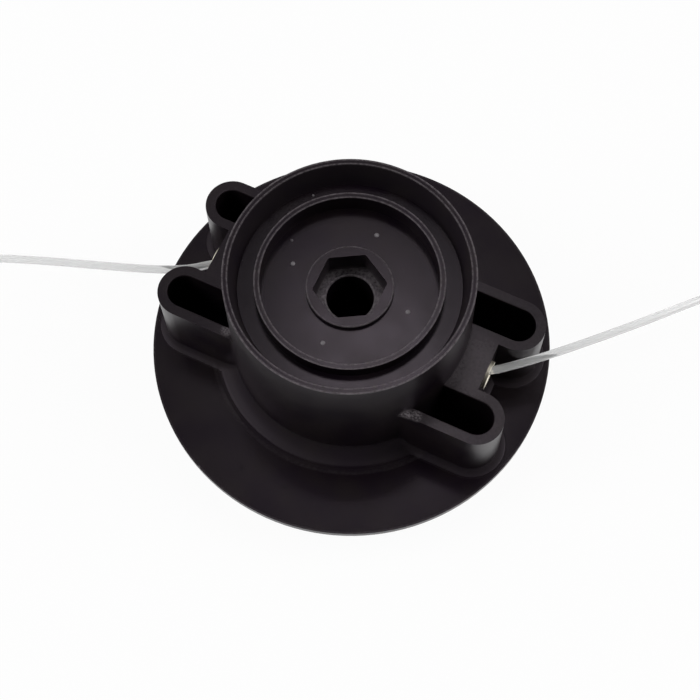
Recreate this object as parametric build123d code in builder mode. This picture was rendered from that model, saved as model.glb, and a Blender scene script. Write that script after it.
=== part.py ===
"""Two-line bump-feed trimmer head: housing with disc and lobes, drive boss, spool, spring, knob and cover.

Millimetres. Z runs along the head's axis, with 0 at the knob's ground face. X runs through the line exits.
"""

import os
from math import cos, degrees, pi, radians, sin, tan

from build123d import *

os.makedirs("parts", exist_ok=True)

# Housing: hub and disc
rim_radius = 34.5
rim_wall = 1.6
hub_draft = 1.15
hub_wall = 2.4
foot_fillet = 6.0
disc_underside = 12.5
disc_thickness = 2.5
disc_margin = 6.6
disc_edge_round = 0.9
edge_round = 0.4
round_share = 0.45

# Housing: recess in the top of the hub
channel_depth = 8.7
channel_width = 4.8
channel_lean = 1.9
channel_round = 1.6
ring_wall = 1.6
ring_drop = 4.1
floor_depth = 10.7
floor_thickness = 2.5

# Drive boss: hexagon socket, flange under the recess floor and post for the knob's stem
boss_wall = 1.8
boss_rise = 1.6
boss_round = 0.25
boss_flange_width = 1.8
boss_flange_thickness = 1.5
hex_sides = 6
hex_turn = 30.0
hex_across_flats = 18.0
hex_corner_round = 1.0
hex_depth = 8.1
ledge_thickness = 3.0
bore_radius = 6.7
bore_round = 0.5
post_wall = 3.0

# Housing: lobes, the webs between them and the line exits
lobe_length = 10.1
lobe_half_width = 7.8
lobe_wall = 3.0
lobe_draft = 1.2
lobe_root_round = 2.5
pocket_floor = 1.0
web_length = 7.2
web_half_width = 7.4
exit_cover = 6.3
mouth_depth = 2.6
mouth_margin = 1.1

# Housing: ribs under the disc
rib_count = 12
rib_thickness = 1.6
rib_height = 1.8
rib_inset = 4.0
cover_margin = 2.0

# Eyelets
eyelet_bore_radius = 2.8
eyelet_wall = 0.7
eyelet_flange_width = 0.7
eyelet_flange_thickness = 0.9
eyelet_lip_round = 0.8

# Spool and its line
line_diameter = 2.4
crest_depth = 0.6
spool_width = 18.0
spool_flange = 2.0
spool_gap = 1.5
spool_lift = 2.5
spool_headroom = 1.8
winding_depth = 7.5
core_wall = 1.5
seat_width = 4.5
seat_depth = 5.0
notch_depth = 5.0
notch_count = 2

# Spring and washer
wire_diameter = 1.1
spring_turns = 4.0
washer_thickness = 0.8
washer_margin = 0.8

# Bump knob
press_travel = 5.0
knob_wall = 2.5
knob_floor = 3.0
knob_round = 5.0
knob_recess_radius = 9.0
knob_recess_depth = 0.8
shoulder_width = 2.3
shoulder_height = 2.5
stem_wall = 3.6
knob_rib_count = 6
knob_rib_thickness = 1.8
knob_rib_height = 9.0
knob_rib_bite = 0.1

# Cover
cover_thickness = 2.5
cover_flange = 7.6
spigot_height = 7.5
spigot_wall = 2.3
stop_count = 4
stop_angle = 14.0
stop_depth = 2.9
stop_engagement = 2.5
bayonet_count = 4
bayonet_angle = 16.0
bayonet_play = 2.0
bayonet_depth = 1.5
bayonet_height = 2.5
bayonet_base = 2.5
grip_count = 16
grip_radius = 3.0
grip_offset = 1.5

# Clearances
press_clearance = 0.02
seat_clearance = 0.05
axial_clearance = 0.1
running_clearance = 0.1
lug_clearance = 0.15
stop_clearance = 0.3
slide_clearance = 0.4
stem_clearance = 0.5
shoulder_clearance = 0.565
end_clearance = 2.0

# Heights, stacked from the disc up through the spool to the rim
disc_top = disc_underside + disc_thickness
cover_bottom = disc_underside - cover_thickness
spigot_top = disc_underside + spigot_height
spool_bottom = spigot_top + spool_lift
exit_z = spool_bottom + spool_flange + spool_width / 2
spool_top = exit_z + spool_width / 2 + spool_flange
seat_z = spool_top - seat_depth
lobe_top = exit_z + exit_cover
ceiling = spool_top + press_travel + spool_headroom
floor_top = ceiling + floor_thickness
rim_top = floor_top + floor_depth
channel_floor = rim_top - channel_depth
ring_top = rim_top - ring_drop
boss_top = floor_top + boss_rise
hex_ledge = boss_top - hex_depth
root_end = hex_ledge - ledge_thickness
post_end = knob_floor + press_travel + end_clearance
shoulder_z = disc_underside + axial_clearance
stem_top = root_end - press_travel - stem_clearance
hub_height = rim_top - disc_top
lobe_height = lobe_top - disc_top

# Radii of the hub, from the rim inwards and outwards
hub_slope = tan(radians(hub_draft))
foot_radius = rim_radius + hub_height * hub_slope
chamber_radius = rim_radius + (rim_top - ceiling) * hub_slope - hub_wall
channel_radius = rim_radius - rim_wall - channel_lean
ring_radius = channel_radius - channel_width
hex_corner_radius = hex_across_flats / 2 / cos(pi / hex_sides)
boss_radius = hex_corner_radius + boss_wall
boss_flange_radius = boss_radius + boss_flange_width
post_radius = bore_radius + post_wall
lobe_reach = foot_radius + lobe_length
lobe_offset = web_half_width + lobe_half_width
web_reach = foot_radius + web_length
disc_radius = lobe_reach + lobe_half_width + disc_margin
pocket_half_width = lobe_half_width - lobe_wall
disc_round = min(disc_edge_round, round_share * disc_thickness)
wall_round = min(edge_round, round_share * min(rim_wall, ring_wall, lobe_wall))

# Radii of the pieces in the chamber, and of the eyelets
eyelet_inner_end = chamber_radius + mouth_depth
eyelet_radius = eyelet_bore_radius + eyelet_wall
mouth_radius = eyelet_radius + mouth_margin
spool_radius = chamber_radius - spool_gap
stem_bore_radius = post_radius + running_clearance
stem_radius = stem_bore_radius + stem_wall
spool_bore_radius = stem_radius + running_clearance
seat_radius = spool_bore_radius + seat_width
core_radius = seat_radius + core_wall
winding_radius = core_radius + winding_depth
washer_inner = spool_bore_radius + running_clearance
washer_outer = seat_radius - washer_margin
spring_radius = (washer_inner + washer_outer) / 2
spigot_radius = chamber_radius - running_clearance
spigot_bore_radius = spigot_radius - spigot_wall
stop_radius = spigot_bore_radius - stop_depth
shoulder_radius = stop_radius - shoulder_clearance
knob_radius = shoulder_radius - shoulder_width
cover_opening_radius = knob_radius + slide_clearance
cover_radius = chamber_radius + cover_flange
full_turn = 360.0
slack = 0.01


def radial_plane(angle):
    """Upright plane through the axis: local x points outwards at this angle, local y points up."""
    outwards = (cos(radians(angle)), sin(radians(angle)), 0)
    return Plane((0, 0, 0), x_dir=outwards, z_dir=(outwards[1], -outwards[0], 0))


def sector(angle, inner, outer, low, high, sweep, mode=Mode.ADD):
    """Block of a ring, centred on an angle, added to the part in hand or cut from it."""
    with BuildSketch(radial_plane(angle - sweep / 2)) as section:
        with Locations(((inner + outer) / 2, (low + high) / 2)):
            Rectangle(outer - inner, high - low)
    revolve(section.sketch, axis=Axis.Z, revolution_arc=sweep, mode=mode)


def even_angles(count, first=0.0):
    """Angles of a number of equal steps around the axis."""
    return [first + full_turn * step / count for step in range(count)]


def axis_distance(edge, share=0.5):
    """Distance of a point on an edge, its middle by default, from the head's axis."""
    spot = edge @ share
    return Vector(spot.X, spot.Y).length


def in_lobe_root(edge):
    """Whether an edge lies where a lobe or web meets the disc, or where a lobe's outer side meets the hub."""
    start, middle, end = (edge @ share for share in (0, 0.5, 1))
    if max(abs(spot.Z - disc_top) for spot in (start, middle, end)) < slack:
        round_the_hub = abs(axis_distance(edge, 0) - axis_distance(edge)) < slack
        return axis_distance(edge) > foot_radius and not round_the_hub
    climbs = abs(start.Z - end.Z) > slack and disc_top < middle.Z < lobe_top
    outside = abs(middle.Y) > lobe_offset + lobe_half_width - lobe_wall / 2
    return climbs and outside and axis_distance(edge) < foot_radius + foot_fillet


def round_pocket(edge):
    """Whether an edge at the lobes' top belongs to a pocket's mouth."""
    middle = edge @ 0.5
    beside = abs(abs(middle.Y) - lobe_offset) < pocket_half_width + slack
    mouth_end = lobe_reach + pocket_half_width + slack
    return beside and foot_radius < axis_distance(edge) and abs(middle.X) < mouth_end


# Four pockets between the lobes' walls, stopped by the hub's outer wall
with BuildPart() as pockets:
    with BuildSketch(Plane.XY.offset(disc_top + pocket_floor)):
        with Locations((0, lobe_offset), (0, -lobe_offset)):
            SlotCenterToCenter(2 * lobe_reach, 2 * pocket_half_width)
    extrude(amount=hub_height)
    with BuildSketch(Plane.XZ):
        with BuildLine():
            Polyline(
                (0, disc_top),
                (foot_radius, disc_top),
                (rim_radius, rim_top),
                (rim_radius, rim_top + hub_height),
                (0, rim_top + hub_height),
                close=True,
            )
        make_face()
    revolve(axis=Axis.Z, mode=Mode.SUBTRACT)

# Housing: hub, disc, lobes and webs in one moulding
with BuildPart() as housing:
    with BuildSketch(Plane.XZ) as hub_section:
        with BuildLine():
            Polyline(
                (0, disc_underside),
                (disc_radius, disc_underside),
                (disc_radius, disc_top),
                (foot_radius, disc_top),
                (rim_radius, rim_top),
                (rim_radius - rim_wall, rim_top),
                (channel_radius, channel_floor),
                (ring_radius, channel_floor),
                (ring_radius, ring_top),
                (ring_radius - ring_wall, ring_top),
                (ring_radius - ring_wall, floor_top),
                (0, floor_top),
                close=True,
            )
        make_face()
        corners = hub_section.vertices()
        fillet(corners.sort_by_distance((foot_radius, disc_top))[0], foot_fillet)
        fillet(corners.sort_by_distance((disc_radius, disc_top))[0], disc_round)
        fillet(corners.sort_by_distance((disc_radius, disc_underside))[0], disc_round)
        for radius, height in (
            (rim_radius, rim_top),
            (rim_radius - rim_wall, rim_top),
            (ring_radius, ring_top),
            (ring_radius - ring_wall, ring_top),
        ):
            fillet(corners.sort_by_distance((radius, height))[0], wall_round)
        fillet(corners.sort_by_distance((channel_radius, channel_floor))[0], channel_round)
    revolve(axis=Axis.Z)

    # Lobes narrow upwards by their draft, and the sketch is at their foot
    lobe_foot = lobe_half_width + lobe_height * tan(radians(lobe_draft))
    with BuildSketch(Plane.XY.offset(disc_top)):
        with Locations((0, lobe_offset), (0, -lobe_offset)):
            SlotCenterToCenter(2 * lobe_reach, 2 * lobe_foot)
    extrude(amount=lobe_height, taper=lobe_draft)

    # Webs between the lobes, with the line exits
    with BuildSketch(Plane.XY.offset(disc_top)):
        Rectangle(2 * web_reach, 2 * lobe_offset)
    extrude(amount=lobe_height)
    add(pockets.part, mode=Mode.SUBTRACT)

    # Rounded roots of the lobes and webs, and rounded mouths of the pockets
    fillet(housing.edges().filter_by(in_lobe_root), lobe_root_round)
    top_edges = housing.edges().filter_by_position(Axis.Z, lobe_top, lobe_top)
    fillet(top_edges.filter_by(round_pocket), wall_round)

    # Spool chamber, and the seat of the drive boss in its ceiling
    with BuildSketch(Plane.XY.offset(disc_underside)):
        Circle(chamber_radius)
    extrude(amount=ceiling - disc_underside, mode=Mode.SUBTRACT)
    with BuildSketch(Plane.XY.offset(ceiling)):
        Circle(boss_radius + press_clearance)
    extrude(amount=floor_thickness, mode=Mode.SUBTRACT)

    # Eyelet seats through the webs, wider towards the chamber
    for side in (1, -1):
        with BuildSketch(Plane.YZ.offset(side * web_reach)):
            with Locations((0, exit_z)):
                Circle(eyelet_radius + press_clearance)
        extrude(amount=-side * (web_reach - eyelet_inner_end), mode=Mode.SUBTRACT)
        with BuildSketch(Plane.YZ.offset(side * eyelet_inner_end)):
            with Locations((0, exit_z)):
                Circle(mouth_radius)
        extrude(amount=-side * (mouth_depth + hub_wall), mode=Mode.SUBTRACT)

    # Bayonet slots for the cover: a way in from below and a groove to turn into
    slot_radius = spigot_radius + bayonet_depth + stop_clearance
    slot_low = disc_underside + bayonet_base - stop_clearance
    slot_high = disc_underside + bayonet_base + bayonet_height + stop_clearance
    slot_start = chamber_radius - hub_wall
    slot_sweep = bayonet_angle + bayonet_play
    for angle in even_angles(bayonet_count, full_turn / bayonet_count / 2):
        entry = angle + slot_sweep
        sector(angle, slot_start, slot_radius, slot_low, slot_high, slot_sweep, Mode.SUBTRACT)
        sector(entry, slot_start, slot_radius, disc_underside, slot_high, slot_sweep, Mode.SUBTRACT)

    # Ribs under the disc, outside the cover
    rib_start = cover_radius + cover_margin
    rib_end = disc_radius - rib_inset
    with BuildSketch(Plane.XY.offset(disc_underside)):
        with PolarLocations((rib_start + rib_end) / 2, rib_count):
            Rectangle(rib_end - rib_start, rib_thickness)
    extrude(amount=-rib_height)
housing.part.label = "housing"
export_step(housing.part, "parts/housing.step")

# Drive boss, pressed into the recess floor from below
flange_top = ceiling - seat_clearance
with BuildPart() as drive_boss:
    with BuildSketch(Plane.XZ) as boss_section:
        with BuildLine():
            Polyline(
                (0, post_end),
                (post_radius, post_end),
                (post_radius, root_end),
                (boss_radius, root_end),
                (boss_radius, flange_top - boss_flange_thickness),
                (boss_flange_radius, flange_top - boss_flange_thickness),
                (boss_flange_radius, flange_top),
                (boss_radius, flange_top),
                (boss_radius, boss_top),
                (0, boss_top),
                close=True,
            )
        make_face()
        fillet(boss_section.vertices().sort_by_distance((boss_radius, boss_top))[0], boss_round)
    revolve(axis=Axis.Z)
    with BuildSketch(Plane.XY.offset(boss_top)) as socket_outline:
        RegularPolygon(hex_corner_radius, hex_sides, rotation=hex_turn)
        fillet(socket_outline.vertices(), hex_corner_round)
    extrude(amount=-hex_depth, mode=Mode.SUBTRACT)
    with BuildSketch(Plane.XY.offset(post_end)):
        Circle(bore_radius)
    extrude(amount=hex_ledge - post_end, mode=Mode.SUBTRACT)
    ledge_edges = drive_boss.edges().filter_by_position(Axis.Z, hex_ledge, hex_ledge)
    fillet(ledge_edges.filter_by(GeomType.CIRCLE).sort_by(SortBy.RADIUS)[-1], bore_round)
drive_boss.part.label = "drive_boss"
export_step(drive_boss.part, "parts/drive_boss.step")

# Eyelets: flanged bushes pressed into the webs
for side, hand in ((1, "right"), (-1, "left")):
    flange_radius = eyelet_radius + eyelet_flange_width
    with BuildPart() as eyelet:
        with BuildSketch(Plane.XZ) as bush_section:
            with BuildLine():
                Polyline(
                    (eyelet_inner_end, exit_z + eyelet_bore_radius),
                    (web_reach + eyelet_flange_thickness, exit_z + eyelet_bore_radius),
                    (web_reach + eyelet_flange_thickness, exit_z + flange_radius),
                    (web_reach, exit_z + flange_radius),
                    (web_reach, exit_z + eyelet_radius),
                    (eyelet_inner_end, exit_z + eyelet_radius),
                    close=True,
                )
            make_face()
            lip = (web_reach + eyelet_flange_thickness, exit_z + eyelet_bore_radius)
            fillet(bush_section.vertices().sort_by_distance(lip)[0], eyelet_lip_round)
        revolve(axis=Axis((0, 0, exit_z), (1, 0, 0)))
    bush = eyelet.part if side == 1 else eyelet.part.rotate(Axis.Z, full_turn / 2)
    bush.label = "eyelet_" + hand
    export_step(bush, "parts/eyelet_" + hand + ".step")

# Spool: reel with lugs below that meet the cover's stops
lug_inner = stop_radius + lug_clearance
lug_outer = spigot_bore_radius - stop_clearance
lug_low = spigot_top - stop_engagement
with BuildPart() as spool:
    with BuildSketch(Plane.XZ):
        with BuildLine():
            Polyline(
                (spool_bore_radius, spool_bottom),
                (spool_radius, spool_bottom),
                (spool_radius, spool_bottom + spool_flange),
                (core_radius, spool_bottom + spool_flange),
                (core_radius, spool_top - spool_flange),
                (spool_radius, spool_top - spool_flange),
                (spool_radius, spool_top),
                (seat_radius, spool_top),
                (seat_radius, seat_z),
                (spool_bore_radius, seat_z),
                close=True,
            )
        make_face()
    revolve(axis=Axis.Z)
    for angle in even_angles(stop_count):
        sector(angle, lug_inner, lug_outer, lug_low, spool_bottom + spool_flange / 2, stop_angle)
    with BuildSketch(Plane.XY.offset(spool_top)):
        with PolarLocations(spool_radius, notch_count, start_angle=full_turn / 4):
            SlotOverall(2 * notch_depth, line_diameter)
    extrude(amount=-spool_flange, mode=Mode.SUBTRACT)
spool.part.label = "spool"
export_step(spool.part, "parts/spool.step")

# Wound line: the turns on the reel, ridged outside by the turns of the last layer
winding_inner = core_radius + seat_clearance
winding_bottom = spool_bottom + spool_flange + seat_clearance
winding_top = spool_top - spool_flange - seat_clearance
winding_valley = winding_radius - crest_depth
turn_count = int(spool_width / line_diameter)
turn_pitch = (winding_top - winding_bottom) / turn_count
with BuildPart() as line_winding:
    with BuildSketch(Plane.XZ):
        with BuildLine():
            Polyline(
                (winding_valley, winding_bottom),
                (winding_inner, winding_bottom),
                (winding_inner, winding_top),
                (winding_valley, winding_top),
            )
            for turn in range(turn_count):
                start = winding_bottom + turn * turn_pitch
                ThreePointArc(
                    (winding_valley, start),
                    (winding_radius, start + turn_pitch / 2),
                    (winding_valley, start + turn_pitch),
                )
        make_face()
    revolve(axis=Axis.Z)
line_winding.part.label = "line_winding"
export_step(line_winding.part, "parts/line_winding.step")

# Thrust washer in the spool's spring seat
with BuildPart() as thrust_washer:
    with BuildSketch(Plane.XY.offset(seat_z + seat_clearance)):
        Circle(washer_outer)
        Circle(washer_inner, mode=Mode.SUBTRACT)
    extrude(amount=washer_thickness)
thrust_washer.part.label = "thrust_washer"
export_step(thrust_washer.part, "parts/thrust_washer.step")

# Compression spring between the chamber's ceiling and the washer
spring_low = seat_z + axial_clearance + washer_thickness + wire_diameter / 2
spring_high = ceiling - axial_clearance - wire_diameter / 2
with BuildPart() as spring:
    with BuildLine() as coil:
        Helix(
            pitch=(spring_high - spring_low) / spring_turns,
            height=spring_high - spring_low,
            radius=spring_radius,
            center=(0, 0, spring_low),
        )
    with BuildSketch(Plane(coil.line @ 0, z_dir=coil.line % 0)):
        Circle(wire_diameter / 2)
    sweep(is_frenet=True)
spring.part.label = "spring"
export_step(spring.part, "parts/spring.step")

# Bump knob: cup with a stem on the post, and a shoulder that the cover holds in
cup_top = spool_bottom - axial_clearance
cup_radius = knob_radius - knob_wall
with BuildPart() as bump_knob:
    with BuildSketch(Plane.XZ) as knob_section:
        with BuildLine():
            Polyline(
                (0, knob_recess_depth),
                (knob_recess_radius, knob_recess_depth),
                (knob_recess_radius + knob_recess_depth, 0),
                (knob_radius, 0),
                (knob_radius, shoulder_z),
                (shoulder_radius, shoulder_z),
                (shoulder_radius, shoulder_z + shoulder_height),
                (knob_radius, shoulder_z + shoulder_height),
                (knob_radius, cup_top),
                (cup_radius, cup_top),
                (cup_radius, knob_floor),
                (stem_radius, knob_floor),
                (stem_radius, stem_top),
                (stem_bore_radius, stem_top),
                (stem_bore_radius, knob_floor),
                (0, knob_floor),
                close=True,
            )
        make_face()
        fillet(knob_section.vertices().sort_by_distance((knob_radius, 0))[0], knob_round)
    revolve(axis=Axis.Z)
    with BuildSketch(Plane.XY.offset(knob_floor)):
        with PolarLocations((stem_radius + cup_radius) / 2, knob_rib_count):
            Rectangle(cup_radius - stem_radius + 2 * knob_rib_bite, knob_rib_thickness)
    extrude(amount=knob_rib_height)
bump_knob.part.label = "bump_knob"
export_step(bump_knob.part, "parts/bump_knob.step")

# Cover: bayonet ring with stops for the spool's lugs
play = degrees(stop_clearance / stop_radius)
stop_lag = stop_angle + play
with BuildPart() as cover:
    with BuildSketch(Plane.XZ):
        with BuildLine():
            Polyline(
                (cover_opening_radius, cover_bottom),
                (cover_radius, cover_bottom),
                (cover_radius, disc_underside),
                (spigot_radius, disc_underside),
                (spigot_radius, spigot_top),
                (spigot_bore_radius, spigot_top),
                (spigot_bore_radius, disc_underside),
                (cover_opening_radius, disc_underside),
                close=True,
            )
        make_face()
    revolve(axis=Axis.Z)
    mid_wall = (spigot_radius + spigot_bore_radius) / 2
    mid_plate = (cover_bottom + disc_underside) / 2
    for angle in even_angles(stop_count, stop_lag):
        sector(angle, stop_radius, mid_wall, mid_plate, spigot_top - stop_clearance, stop_angle)
    bayonet_low = disc_underside + bayonet_base
    for angle in even_angles(bayonet_count, full_turn / bayonet_count / 2):
        reach = spigot_radius + bayonet_depth
        sector(angle, mid_wall, reach, bayonet_low, bayonet_low + bayonet_height, bayonet_angle)
    with BuildSketch(Plane.XY.offset(cover_bottom)):
        with PolarLocations(cover_radius + grip_offset, grip_count):
            Circle(grip_radius)
    extrude(amount=cover_thickness, mode=Mode.SUBTRACT)
cover.part.label = "cover"
export_step(cover.part, "parts/cover.step")

# Free ends of the line, from the winding through the eyelets
routes = {
    "right": [
        (23.9, -15.7, 33.5),
        (32.2, -1.0, 33.5),
        (41.0, 0.4, 33.5),
        (43.9, 1.7, 33.5),
        (50.0, 6.8, 33.6),
        (57.6, 13.7, 33.6),
        (73.0, 29.2, 33.2),
        (89.0, 46.6, 32.3),
        (103.0, 62.6, 31.0),
        (111.5, 72.9, 29.9),
    ],
    "left": [
        (-23.9, 15.7, 33.5),
        (-32.2, 1.0, 33.5),
        (-41.2, -0.6, 33.5),
        (-44.0, -1.9, 33.5),
        (-50.0, -6.7, 33.4),
        (-60.0, -11.2, 33.3),
        (-75.0, -16.4, 32.9),
        (-94.5, -22.8, 31.8),
        (-114.5, -30.3, 30.2),
        (-133.0, -36.5, 28.4),
    ],
}
bend_share = 0.45
for hand, points in routes.items():
    bends = []
    for before, corner, after in zip(points, points[1:], points[2:]):
        run_in = Vector(*corner) - Vector(*before)
        run_out = Vector(*after) - Vector(*corner)
        half_turn = radians(run_in.get_angle(run_out)) / 2
        bends.append(bend_share * min(run_in.length, run_out.length) / tan(half_turn))
    with BuildPart() as line:
        with BuildLine() as route:
            FilletPolyline(*points, radius=bends)
        with BuildSketch(Plane(route.line @ 0, z_dir=route.line % 0)):
            Circle(line_diameter / 2)
        sweep()
    length = sum(edge.length for edge in route.edges())
    section_volume = pi * (line_diameter / 2) ** 2 * length
    print("line", hand, "length", round(length, 1))
    print("line", hand, "bend radii", [round(bend, 1) for bend in bends])
    print("line", hand, "volume against section times length", round(line.part.volume / section_volume, 5))
    line.part.label = "line_" + hand
    export_step(line.part, "parts/line_" + hand + ".step")
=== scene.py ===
"""Looks of a two-line trimmer head: black moulded nylon, clear cutting line, brass eyelets, steel spring.

Metres, in the part's own frame: Z runs up the head's axis from the knob's ground face,
and X runs through the line exits.
"""

import math
import random

import bmesh
import bpy
from mathutils import Matrix, Vector


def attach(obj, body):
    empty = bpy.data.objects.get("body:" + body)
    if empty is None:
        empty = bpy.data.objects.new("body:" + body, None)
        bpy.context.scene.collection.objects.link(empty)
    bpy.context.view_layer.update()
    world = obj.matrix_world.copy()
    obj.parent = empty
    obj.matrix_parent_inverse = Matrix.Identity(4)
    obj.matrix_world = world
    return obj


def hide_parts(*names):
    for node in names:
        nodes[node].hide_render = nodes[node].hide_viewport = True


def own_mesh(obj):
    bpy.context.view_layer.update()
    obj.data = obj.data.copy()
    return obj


mm = 0.001
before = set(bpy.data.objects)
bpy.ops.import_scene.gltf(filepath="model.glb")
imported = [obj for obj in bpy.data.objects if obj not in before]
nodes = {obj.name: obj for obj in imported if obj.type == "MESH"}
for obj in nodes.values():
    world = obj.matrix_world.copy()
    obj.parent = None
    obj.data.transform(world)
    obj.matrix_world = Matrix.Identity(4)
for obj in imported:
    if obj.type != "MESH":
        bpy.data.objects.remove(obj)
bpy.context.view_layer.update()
scene = bpy.context.scene
scene.view_settings.view_transform = "Standard"

# Camera: a view from above the front, slightly rolled
picture_width = 700
focal_length_pixels = 1333.0
camera_azimuth = math.radians(26.6)
camera_elevation = math.radians(69.28)
camera_roll = math.radians(-1.71)
camera_distance = 402.78 * mm
camera_target = Vector((1.12, -3.33, 15.0)) * mm
lamp_target = Vector((19.7, -17.0, 60.0)) * mm

# Free ends of the line, with the points of their routes in millimetres
line_diameter = 2.4 * mm
line_routes = {
    "right": [
        (23.9, -15.7, 33.5),
        (32.2, -1.0, 33.5),
        (41.0, 0.4, 33.5),
        (43.9, 1.7, 33.5),
        (50.0, 6.8, 33.6),
        (57.6, 13.7, 33.6),
        (73.0, 29.2, 33.2),
        (89.0, 46.6, 32.3),
        (103.0, 62.6, 31.0),
        (111.5, 72.9, 29.9),
    ],
    "left": [
        (-23.9, 15.7, 33.5),
        (-32.2, 1.0, 33.5),
        (-41.2, -0.6, 33.5),
        (-44.0, -1.9, 33.5),
        (-50.0, -6.7, 33.4),
        (-60.0, -11.2, 33.3),
        (-75.0, -16.4, 32.9),
        (-94.5, -22.8, 31.8),
        (-114.5, -30.3, 30.2),
        (-133.0, -36.5, 28.4),
    ],
}

# Height of the lobes' tops, which lie open to scuffs and are painted paler there, and the middle of the web
# between the right lobes, where a painted highlight lies
lobe_top = 39.8 * mm
web_middle = (38.5 * mm, -1.5 * mm)

# Refractive index of nylon
nylon_index = 1.53

# Edges painted paler in broken lines, partly wear and partly painted highlight where their rounds catch the
# lamps: radius, height and reach of the paling, in millimetres, and how pale it is from 0 to 1
worn_and_highlit_edges = (
    (34.4, 64.4, 0.5, 0.65),
    (33.0, 64.4, 0.4, 0.45),
    (26.1, 60.3, 0.45, 0.55),
    (24.7, 60.3, 0.45, 0.5),
    (12.1, 55.3, 0.4, 0.5),
    (6.85, 47.2, 0.75, 1.0),
    (8.4, 47.3, 2.0, 0.6),
    # The thin pale line at the hub's foot is painted highlight only
    (41.9, 15.0, 0.8, 0.06),
    (59.7, 14.7, 0.5, 0.25),
)

# Spots, in millimetres: place, size and strength. Dark stains lie on the disc.
stains = ((-12.2, -50.0, 15.0, 1.9, 0.8), (1.8, -49.8, 15.0, 2.3, 0.9), (10.6, -49.8, 15.0, 1.8, 0.8))

# Pale spots: a chip in the disc's edge, a nick in the socket's ledge, and pale patches at two lobes' roots,
# where rubbing and a painted highlight lie together
chips_and_highlights = (
    (-23.7, -55.2, 14.8, 1.6, 0.9),
    (-6.9, -2.9, 47.3, 2.0, 1.0),
    (27.4, -22.5, 39.8, 5.0, 1.0),
    (30.2, -21.8, 39.8, 4.4, 0.8),
    (-29.0, -20.8, 39.8, 4.6, 0.8),
    (-26.6, -20.9, 39.8, 3.2, 0.8),
)

# Spring between the chamber's ceiling and the washer
spring_radius = 15.4 * mm
wire_diameter = 1.1 * mm
spring_low = 40.4 * mm
spring_high = 51.2 * mm


def linear(colour):
    """Linear colour of an sRGB hex value."""
    channels = [int(colour[start : start + 2], 16) / 255 for start in (1, 3, 5)]
    return [c / 12.92 if c <= 0.04045 else ((c + 0.055) / 1.055) ** 2.4 for c in channels] + [1.0]


def add_node(tree, kind, inputs=(), **settings):
    """Add a node with its settings. Its inputs take values, or sockets that they link to."""
    node = tree.nodes.new(kind)
    for name, value in settings.items():
        setattr(node, name, value)
    for name, value in dict(inputs).items():
        if isinstance(value, bpy.types.NodeSocket):
            tree.links.new(value, node.inputs[name])
        else:
            node.inputs[name].default_value = value
    return node


def new_material(name):
    """An empty material and its node tree."""
    material = bpy.data.materials.new(name)
    material.use_nodes = True
    material.node_tree.nodes.clear()
    return material, material.node_tree


def show(obj, material):
    """Give an object one material."""
    obj.data.materials.clear()
    obj.data.materials.append(material)


def new_object(name, data):
    """A new object in the scene."""
    obj = bpy.data.objects.new(name, data)
    scene.collection.objects.link(obj)
    return obj


# Camera, first of all
camera_data = bpy.data.cameras.new("camera")
camera_data.sensor_width = 36.0
camera_data.lens = focal_length_pixels / picture_width * camera_data.sensor_width
camera_data.clip_start = 0.01
camera_data.clip_end = 60.0
camera = new_object("camera", camera_data)
level_right = Vector((math.cos(camera_azimuth), math.sin(camera_azimuth), 0))
level_ahead = Vector((-math.sin(camera_azimuth), math.cos(camera_azimuth), 0))
camera_back = Vector((0, 0, math.sin(camera_elevation))) - level_ahead * math.cos(camera_elevation)
level_up = camera_back.cross(level_right)
camera_right = level_right * math.cos(camera_roll) + level_up * math.sin(camera_roll)
camera_up = level_up * math.cos(camera_roll) - level_right * math.sin(camera_roll)
camera_axes = Matrix((camera_right, camera_up, camera_back)).transposed()
camera.matrix_world = Matrix.Translation(camera_target + camera_back * camera_distance) @ camera_axes.to_4x4()
scene.camera = camera

# Clear nylon line, extruded: glassy, with a faint milkiness and slow waves in its skin from the spool
line_nylon, tree = new_material("clear_extruded_nylon_line")
place = add_node(tree, "ShaderNodeTexCoord").outputs["Object"]
milkiness_size = 6.0 * mm
milkiness = add_node(
    tree,
    "ShaderNodeTexNoise",
    {"Vector": place, "Scale": 1 / milkiness_size, "Detail": 2.0},
)
cloud = add_node(
    tree,
    "ShaderNodeMapRange",
    {"Value": milkiness.outputs["Fac"], "From Min": 0.35, "From Max": 0.7, "To Min": 0.06, "To Max": 0.16},
)
skin = add_node(
    tree,
    "ShaderNodeBump",
    {"Height": milkiness.outputs["Fac"], "Strength": 0.25, "Distance": 0.2 * mm},
)
body = add_node(
    tree,
    "ShaderNodeBsdfPrincipled",
    {
        "Base Color": linear("#ffffff"),
        "Roughness": cloud.outputs["Result"],
        "IOR": nylon_index,
        "Transmission Weight": 0.62,
        "Normal": skin.outputs["Normal"],
    },
)
add_node(tree, "ShaderNodeOutputMaterial", {"Surface": body.outputs["BSDF"]})

for hand, route in line_routes.items():
    curve = bpy.data.curves.new("cutting_line_" + hand, "CURVE")
    curve.dimensions = "3D"
    curve.bevel_depth = line_diameter / 2
    curve.bevel_resolution = 6
    curve.resolution_u = 24
    curve.use_fill_caps = True
    spline = curve.splines.new("NURBS")
    spline.points.add(len(route) - 1)
    for point, spot in zip(spline.points, route):
        point.co = (*(Vector(spot) * mm), 1.0)
    spline.order_u = 3
    spline.use_endpoint_u = True
    line = new_object("cutting_line_" + hand, curve)
    show(line, line_nylon)
    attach(line, "housing")
    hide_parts("line_" + hand)


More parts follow.
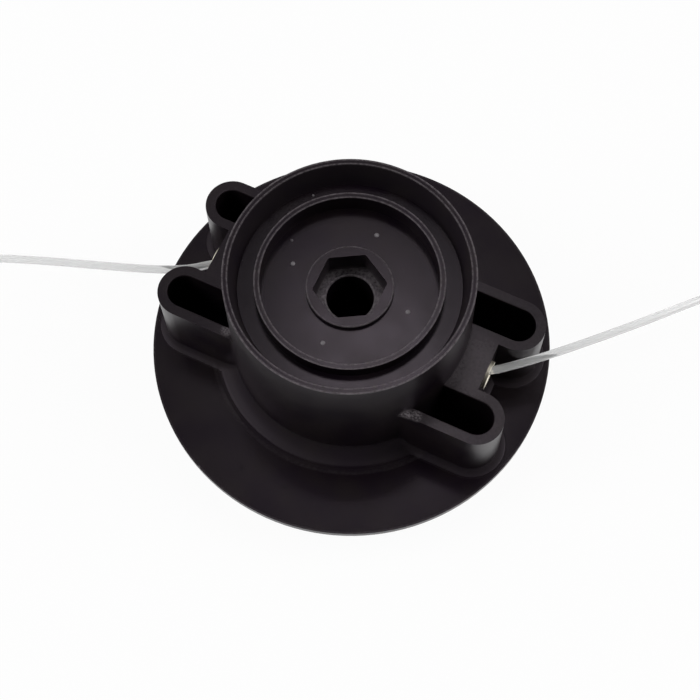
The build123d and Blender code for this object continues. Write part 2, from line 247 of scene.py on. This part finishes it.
def nylon(name, dark, pale, roughness, drawn_roughness, worn=(), stains=(), chips_and_highlights=(), paled_height=None):
    """Black nylon, injection moulded: satin and softly mottled, with the fine grain of an eroded mould.

    Level faces are smooth. Walls are rougher, because they were drawn along the mould, and rounds are dull.
    Its edges are painted paler in broken lines, partly as wear and partly as painted highlight, and a little
    dust lies on it.
    The grain is about 0.05 mm on the real surface, and is drawn coarser so that it shows.
    """
    material, tree = new_material(name)
    place = add_node(tree, "ShaderNodeTexCoord").outputs["Object"]
    mottle_size = 11.0 * mm
    grain_size = 0.45 * mm
    break_size = 0.8 * mm
    fleck_size = 0.5 * mm
    dust_spacing = 6.0 * mm
    dust_radius = 0.13 * mm
    dusty_cells = 0.28
    round_dulling = 0.4
    mottle_dulling = 0.05
    mottle = add_node(
        tree,
        "ShaderNodeTexNoise",
        {"Vector": place, "Scale": 1 / mottle_size, "Detail": 2.0, "Roughness": 0.5},
    ).outputs["Fac"]
    grain = add_node(
        tree,
        "ShaderNodeTexNoise",
        {"Vector": place, "Scale": 1 / grain_size, "Detail": 2.0},
    ).outputs["Fac"]
    shade = add_node(
        tree,
        "ShaderNodeMapRange",
        {"Value": mottle, "From Min": 0.25, "From Max": 0.75},
        interpolation_type="SMOOTHSTEP",
    ).outputs["Result"]
    colour = add_node(
        tree,
        "ShaderNodeMix",
        {"Factor": shade, 6: linear(dark), 7: linear(pale)},
        data_type="RGBA",
    ).outputs[2]

    # Level faces and drawn walls
    facing = add_node(tree, "ShaderNodeNewGeometry").outputs["Normal"]
    upward = add_node(tree, "ShaderNodeSeparateXYZ", {"Vector": facing}).outputs["Z"]
    steepness = add_node(
        tree,
        "ShaderNodeMapRange",
        {"Value": upward, "From Min": 0.95, "From Max": 0.7, "To Min": roughness, "To Max": drawn_roughness},
    ).outputs["Result"]
    gloss = add_node(
        tree,
        "ShaderNodeMath",
        {0: shade, 1: mottle_dulling, 2: steepness},
        operation="MULTIPLY_ADD",
    ).outputs["Value"]

    # Rounds, between level and upright
    leaning = add_node(tree, "ShaderNodeMapRange", {"Value": upward, "From Min": 0.06, "From Max": 0.2})
    tilted = add_node(tree, "ShaderNodeMapRange", {"Value": upward, "From Min": 0.99, "From Max": 0.95})
    dull = add_node(
        tree,
        "ShaderNodeMath",
        {0: leaning.outputs["Result"], 1: tilted.outputs["Result"]},
        operation="MULTIPLY",
    )
    gloss = add_node(
        tree,
        "ShaderNodeMath",
        {0: dull.outputs["Value"], 1: round_dulling, 2: gloss},
        operation="MULTIPLY_ADD",
    ).outputs["Value"]

    # Dust: pale specks, one in a few of the cells
    cells = add_node(tree, "ShaderNodeTexVoronoi", {"Vector": place, "Scale": 1 / dust_spacing})
    pick = add_node(tree, "ShaderNodeSeparateXYZ", {"Vector": cells.outputs["Color"]}).outputs["X"]
    picked = add_node(
        tree, "ShaderNodeMath", {0: pick, 1: 1 - dusty_cells}, operation="GREATER_THAN"
    ).outputs["Value"]
    dust_edge = dust_radius / dust_spacing
    speck = add_node(
        tree,
        "ShaderNodeMapRange",
        {
            "Value": cells.outputs["Distance"],
            "From Min": dust_edge,
            "From Max": 0.5 * dust_edge,
            "To Max": 0.5,
        },
    ).outputs["Result"]
    wear_and_highlight = add_node(tree, "ShaderNodeMath", {0: speck, 1: picked}, operation="MULTIPLY").outputs["Value"]

    # Edges painted paler, wear and painted highlight together, run round the axis
    across = add_node(tree, "ShaderNodeSeparateXYZ", {"Vector": place})
    flat = add_node(tree, "ShaderNodeCombineXYZ", {"X": across.outputs["X"], "Y": across.outputs["Y"]})
    radius = add_node(tree, "ShaderNodeVectorMath", {0: flat.outputs["Vector"]}, operation="LENGTH")
    section = add_node(
        tree, "ShaderNodeCombineXYZ", {"X": radius.outputs["Value"], "Z": across.outputs["Z"]}
    ).outputs["Vector"]
    breaks = add_node(tree, "ShaderNodeTexNoise", {"Vector": place, "Scale": 1 / break_size, "Detail": 3.0})
    broken = add_node(
        tree,
        "ShaderNodeMapRange",
        {"Value": breaks.outputs["Fac"], "From Min": 0.34, "From Max": 0.66, "To Min": 0.35},
    ).outputs["Result"]
    for edge_radius, edge_height, reach, paleness in worn:
        gap = add_node(
            tree,
            "ShaderNodeVectorMath",
            {0: section, 1: (edge_radius * mm, 0, edge_height * mm)},
            operation="DISTANCE",
        )
        edge_paling = add_node(
            tree,
            "ShaderNodeMapRange",
            {
                "Value": gap.outputs["Value"],
                "From Min": reach * mm,
                "From Max": 0.3 * reach * mm,
                "To Max": paleness,
            },
        )
        line = add_node(tree, "ShaderNodeMath", {0: edge_paling.outputs["Result"], 1: broken}, operation="MULTIPLY")
        wear_and_highlight = add_node(
            tree, "ShaderNodeMath", {0: wear_and_highlight, 1: line.outputs["Value"]}, operation="MAXIMUM"
        ).outputs["Value"]

    # Level faces at one height painted paler: scuffs, more so at the front right, and a painted highlight on
    # the web between the right lobes, where the hub shades it
    if paled_height is not None:
        above = add_node(tree, "ShaderNodeMath", {0: across.outputs["Z"], 1: paled_height}, operation="SUBTRACT")
        away = add_node(tree, "ShaderNodeMath", {0: above.outputs["Value"]}, operation="ABSOLUTE")
        near = add_node(
            tree,
            "ShaderNodeMapRange",
            {"Value": away.outputs["Value"], "From Min": 0.3 * mm, "From Max": 0.1 * mm},
        )
        level = add_node(tree, "ShaderNodeMapRange", {"Value": upward, "From Min": 0.8, "From Max": 0.97})
        aside = add_node(tree, "ShaderNodeVectorMath", {0: place, 1: (0.8, -0.6, 0)}, operation="DOT_PRODUCT")
        sideways = add_node(
            tree,
            "ShaderNodeMapRange",
            {
                "Value": aside.outputs["Value"],
                "From Min": -10 * mm,
                "From Max": 36 * mm,
                "To Min": 0.05,
                "To Max": 0.17,
            },
        )
        web_gap = add_node(
            tree, "ShaderNodeVectorMath", {0: place, 1: (*web_middle, paled_height)}, operation="DISTANCE"
        )
        web_highlight = add_node(
            tree,
            "ShaderNodeMapRange",
            {"Value": web_gap.outputs["Value"], "From Min": 14 * mm, "From Max": 5 * mm, "To Max": 0.4},
        )
        top_paling = add_node(
            tree,
            "ShaderNodeMath",
            {0: sideways.outputs["Result"], 1: web_highlight.outputs["Result"]},
            operation="MAXIMUM",
        )
        scuff_and_highlight = add_node(
            tree,
            "ShaderNodeMapRange",
            {"Value": breaks.outputs["Fac"], "From Min": 0.3, "From Max": 0.7, "To Min": 0.65},
        ).outputs["Result"]
        for part in (near, level, top_paling):
            scuff_and_highlight = add_node(
                tree, "ShaderNodeMath", {0: scuff_and_highlight, 1: part.outputs[0]}, operation="MULTIPLY"
            ).outputs["Value"]
        wear_and_highlight = add_node(tree, "ShaderNodeMath", {0: wear_and_highlight, 1: scuff_and_highlight}, operation="MAXIMUM").outputs["Value"]

    # Single spots: pale chips and painted highlights in fine flecks, and dark stains
    flecks = add_node(tree, "ShaderNodeTexNoise", {"Vector": place, "Scale": 1 / fleck_size, "Detail": 5.0})
    flecked = add_node(
        tree, "ShaderNodeMapRange", {"Value": flecks.outputs["Fac"], "From Min": 0.34, "From Max": 0.6}
    ).outputs["Result"]
    darkening = 0.0
    for spots, pale_spot in ((chips_and_highlights, True), (stains, False)):
        for x, y, z, size, strength in spots:
            gap = add_node(
                tree, "ShaderNodeVectorMath", {0: place, 1: (x * mm, y * mm, z * mm)}, operation="DISTANCE"
            )
            cover = add_node(
                tree,
                "ShaderNodeMapRange",
                {
                    "Value": gap.outputs["Value"],
                    "From Min": size / 2 * mm,
                    "From Max": size / 5 * mm,
                    "To Max": strength,
                },
            )
            patch = add_node(
                tree,
                "ShaderNodeMath",
                {0: cover.outputs["Result"], 1: flecked if pale_spot else broken},
                operation="MULTIPLY",
            )
            under = wear_and_highlight if pale_spot else darkening
            joined = add_node(
                tree, "ShaderNodeMath", {0: under, 1: patch.outputs["Value"]}, operation="MAXIMUM"
            ).outputs["Value"]
            if pale_spot:
                wear_and_highlight = joined
            else:
                darkening = joined
    # The pale tone carries wear, dust and painted highlights; the dark tone carries stains
    for amount, tone, dulling in ((wear_and_highlight, "#7c7679", 0.2), (darkening, "#040304", -0.1)):
        colour = add_node(
            tree, "ShaderNodeMix", {"Factor": amount, 6: colour, 7: linear(tone)}, data_type="RGBA"
        ).outputs[2]
        gloss = add_node(
            tree, "ShaderNodeMath", {0: amount, 1: dulling, 2: gloss}, operation="MULTIPLY_ADD"
        ).outputs["Value"]
    relief = add_node(
        tree,
        "ShaderNodeBump",
        {"Height": grain, "Strength": 0.12, "Distance": 0.05 * mm},
    )
    body = add_node(
        tree,
        "ShaderNodeBsdfPrincipled",
        {
            "Base Color": colour,
            "Roughness": gloss,
            "IOR": nylon_index,
            "Specular IOR Level": 0.3,
            "Specular Tint": linear("#ffeffd"),
            "Normal": relief.outputs["Normal"],
        },
    )
    add_node(tree, "ShaderNodeOutputMaterial", {"Surface": body.outputs["BSDF"]})
    return material


def metal(name, colour, worn, roughness, streak_size):
    """Bright metal with fine drawn or turned streaks in its gloss."""
    material, tree = new_material(name)
    place = add_node(tree, "ShaderNodeTexCoord").outputs["Object"]
    streaks = add_node(
        tree,
        "ShaderNodeTexNoise",
        {"Vector": place, "Scale": 1 / streak_size, "Detail": 3.0},
    ).outputs["Fac"]
    tint = add_node(
        tree,
        "ShaderNodeMix",
        {"Factor": streaks, 6: linear(colour), 7: linear(worn)},
        data_type="RGBA",
    )
    gloss = add_node(
        tree,
        "ShaderNodeMapRange",
        {"Value": streaks, "To Min": roughness - 0.06, "To Max": roughness + 0.1},
    )
    body = add_node(
        tree,
        "ShaderNodeBsdfPrincipled",
        {"Base Color": tint.outputs[2], "Metallic": 1.0, "Roughness": gloss.outputs["Result"]},
    )
    add_node(tree, "ShaderNodeOutputMaterial", {"Surface": body.outputs["BSDF"]})
    return material


# The housing's pale edges, lobe tops and spots are wear and painted highlights together
housing_nylon = nylon(
    "black_moulded_nylon_housing", "#120b13", "#191415", 0.19, 0.3, worn_and_highlit_edges, stains, chips_and_highlights, lobe_top
)
plain_nylon = nylon("black_moulded_nylon", "#100c10", "#1c171c", 0.3, 0.36)
spool_nylon = nylon("dark_moulded_nylon_spool", "#1c1b1e", "#2e2c30", 0.36, 0.4)
eyelet_brass = metal("pale_turned_brass", "#fdf9ee", "#f6edd6", 0.5, 0.8 * mm)
spring_steel = metal("drawn_spring_steel", "#b9babd", "#8f9094", 0.3, 0.6 * mm)

for node, material in (
    ("housing", housing_nylon),
    ("drive_boss", housing_nylon),
    ("cover", plain_nylon),
    ("bump_knob", plain_nylon),
    ("spool", spool_nylon),
    ("line_winding", line_nylon),
    ("thrust_washer", spring_steel),
    ("eyelet_right", eyelet_brass),
    ("eyelet_left", eyelet_brass),
):
    show(nodes[node], material)

# Spring with closed ends, flattened as the knob is pressed
steps_per_turn = 40
spring_turns = 5
closed_turns = 0.8
coil_low = spring_low + wire_diameter / 2
coil_high = spring_high - wire_diameter / 2
coil = bpy.data.curves.new("spring_path", "CURVE")
coil.dimensions = "3D"
coil.bevel_depth = wire_diameter / 2
coil.bevel_resolution = 3
coil.use_fill_caps = True
turn_path = coil.splines.new("POLY")
turn_path.points.add(steps_per_turn * spring_turns)
for step, point in enumerate(turn_path.points):
    turn = step / steps_per_turn
    rise = (turn - closed_turns) / (spring_turns - 2 * closed_turns)
    rise = min(max(rise, 0.0), 1.0)
    angle = 2 * math.pi * turn
    point.co = (
        spring_radius * math.cos(angle),
        spring_radius * math.sin(angle),
        coil_low + rise * (coil_high - coil_low),
        1.0,
    )
coil_path = new_object("spring_path", coil)
spring_mesh = bpy.data.meshes.new_from_object(coil_path.evaluated_get(bpy.context.evaluated_depsgraph_get()))
bpy.data.objects.remove(coil_path)
spring = new_object("compression_spring", spring_mesh)
show(spring, spring_steel)
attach(spring, "housing")
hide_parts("spring")
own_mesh(spring)

# Torn nylon: the broken surface is stress-whitened, so it looks greyish and dull
torn_nylon, tree = new_material("torn_whitened_nylon")
place = add_node(tree, "ShaderNodeTexCoord").outputs["Object"]
tear_size = 0.35 * mm
tears = add_node(
    tree, "ShaderNodeTexNoise", {"Vector": place, "Scale": 1 / tear_size, "Detail": 3.0}
).outputs["Fac"]
tint = add_node(
    tree, "ShaderNodeMix", {"Factor": tears, 6: linear("#4e494d"), 7: linear("#959094")}, data_type="RGBA"
)
torn_relief = add_node(tree, "ShaderNodeBump", {"Height": tears, "Strength": 0.4, "Distance": 0.1 * mm})
body = add_node(
    tree,
    "ShaderNodeBsdfPrincipled",
    {
        "Base Color": tint.outputs[2],
        "Roughness": 0.4,
        "IOR": nylon_index,
        "Normal": torn_relief.outputs["Normal"],
    },
)
add_node(tree, "ShaderNodeOutputMaterial", {"Surface": body.outputs["BSDF"]})

# Gate marks, where the moulding's feeds broke off the recess floor, and two crumbs of the same plastic.
# Each has its place, radius, height, the side that tore higher, and how much of it tore.
gate_marks = {
    "gate_mark_left": ((-17.61, 0.12, 53.8), 0.72, 0.34, 150, 0.3),
    "gate_mark_back": ((-0.05, 17.84, 53.8), 0.70, 0.30, 200, 0.8),
    "gate_mark_front": ((0.11, -17.68, 53.8), 0.68, 0.24, 60, 0.6),
    "gate_mark_right": ((17.41, 0.28, 53.8), 0.74, 0.24, 300, 0.9),
    "crumb_on_floor": ((-20.96, 6.44, 53.8), 0.42, 0.3, 80, 0.4),
    "crumb_in_channel": ((-21.03, 20.70, 55.8), 0.42, 0.34, 10, 0.4),
}
mark_profile = ((1.0, -0.2), (0.92, 0.25), (0.7, 0.8), (0.4, 1.0))
mark_segments = 18
mark_crater = 0.7
mark_lean = 0.5
mark_raggedness = 0.14
ragged = random.Random(5)
for name, (spot, radius, height, high_side, torn) in gate_marks.items():
    builder = bmesh.new()
    loops = []
    for share, rise in mark_profile:
        loop = []
        for step in range(mark_segments):
            angle = 2 * math.pi * step / mark_segments
            lean = 1 + torn * mark_lean * math.cos(angle - math.radians(high_side))
            uneven = 1 + mark_raggedness * torn * ragged.uniform(-1, 1)
            level = rise if rise < 0 else rise * lean * uneven
            reach = radius * share
            corner = Vector((reach * uneven * math.cos(angle), reach * math.sin(angle), height * level))
            loop.append(builder.verts.new((Vector(spot) + corner) * mm))
        loops.append(loop)
    top = builder.verts.new((Vector(spot) + Vector((0, 0, height * mark_crater))) * mm)
    for lower, upper in zip(loops, loops[1:]):
        for step in range(mark_segments):
            after = (step + 1) % mark_segments
            builder.faces.new((lower[step], lower[after], upper[after], upper[step]))
    for step in range(mark_segments):
        builder.faces.new((loops[-1][step], loops[-1][(step + 1) % mark_segments], top))
    builder.faces.new(reversed(loops[0]))
    mark_mesh = bpy.data.meshes.new(name)
    builder.to_mesh(mark_mesh)
    builder.free()
    mark_mesh.shade_smooth()
    mark = new_object(name, mark_mesh)
    show(mark, torn_nylon)
    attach(mark, "housing")

# Floor: white matt paper that keeps a soft shadow, and the share of plain white that is seen in it
floor_white = 0.95
floor_paper, tree = new_material("white_matt_paper_floor")
paper = add_node(tree, "ShaderNodeBsdfDiffuse", {"Color": linear("#fcfcfc")})
glow = add_node(tree, "ShaderNodeEmission", {"Color": linear("#ffffff"), "Strength": 1.0})
ray = add_node(tree, "ShaderNodeLightPath")
seen = ray.outputs["Is Camera Ray"]
for kind in ("Is Glossy Ray", "Is Transmission Ray"):
    seen = add_node(
        tree, "ShaderNodeMath", {0: seen, 1: ray.outputs[kind]}, operation="MAXIMUM"
    ).outputs["Value"]
lift = add_node(tree, "ShaderNodeMath", {0: seen, 1: floor_white}, operation="MULTIPLY")
paper_mix = add_node(
    tree,
    "ShaderNodeMixShader",
    {0: lift.outputs["Value"], 1: paper.outputs["BSDF"], 2: glow.outputs["Emission"]},
)
add_node(tree, "ShaderNodeOutputMaterial", {"Surface": paper_mix.outputs["Shader"]})
floor_size = 60.0
floor_mesh = bpy.data.meshes.new("floor")
corners = [(x * floor_size / 2, y * floor_size / 2, 0) for x, y in ((-1, -1), (1, -1), (1, 1), (-1, 1))]
floor_mesh.from_pydata(corners, [], [(0, 1, 2, 3)])
floor = new_object("floor", floor_mesh)
show(floor, floor_paper)

# World: a white band at the floor's far edge, pale above it, dim overhead and dimmest over the front
world = bpy.data.worlds.new("studio")
scene.world = world
world.use_nodes = True
tree = world.node_tree
tree.nodes.clear()
direction = add_node(tree, "ShaderNodeTexCoord").outputs["Generated"]
climb = add_node(tree, "ShaderNodeSeparateXYZ", {"Vector": direction}).outputs["Z"]
ahead = add_node(
    tree, "ShaderNodeVectorMath", {0: direction, 1: level_ahead}, operation="DOT_PRODUCT"
).outputs["Value"]
ceiling = add_node(
    tree,
    "ShaderNodeMapRange",
    {"Value": ahead, "From Min": -0.05, "From Max": 0.2, "To Min": 0.02, "To Max": 0.28},
    interpolation_type="SMOOTHSTEP",
).outputs["Result"]
horizon = add_node(
    tree,
    "ShaderNodeMapRange",
    {"Value": ahead, "From Min": -0.6, "From Max": 0.0, "To Min": 0.25, "To Max": 1.0},
    interpolation_type="SMOOTHSTEP",
).outputs["Result"]
level = add_node(
    tree,
    "ShaderNodeMapRange",
    {"Value": climb, "From Min": 0.1, "From Max": 0.35, "To Min": horizon, "To Max": ceiling},
    interpolation_type="SMOOTHSTEP",
).outputs["Result"]
band = add_node(
    tree,
    "ShaderNodeMapRange",
    {"Value": climb, "From Min": 0.03, "From Max": 0.08, "To Min": 1.0, "To Max": level},
).outputs["Result"]
sky = add_node(tree, "ShaderNodeBackground", {"Color": linear("#ffffff"), "Strength": band})
add_node(tree, "ShaderNodeOutputWorld", {"Surface": sky.outputs["Background"]})

# Lamps: a softbox on each side, the left one stronger, and a ceiling lamp that the level faces mirror.
# Each has its direction to the right, ahead and up, its distance, size and power.
for name, towards, distance, size, power in (
    ("left_softbox", (-0.77, -0.06, 0.63), 1.2, 0.7, 7.4),
    ("right_softbox", (0.75, 0.0, 0.66), 1.2, 0.7, 6.6),
    ("ceiling_lamp", (0.012, 0.355, 0.934), 0.9, 0.14, 0.25),
):
    lamp_data = bpy.data.lights.new(name, "AREA")
    lamp_data.shape = "SQUARE"
    lamp_data.size = size
    lamp_data.energy = power
    lamp = new_object(name, lamp_data)
    along = level_right * towards[0] + level_ahead * towards[1] + Vector((0, 0, towards[2]))
    along.normalize()
    lamp.location = lamp_target + along * distance
    lamp.rotation_mode = "QUATERNION"
    lamp.rotation_quaternion = along.to_track_quat("Z", "Y")
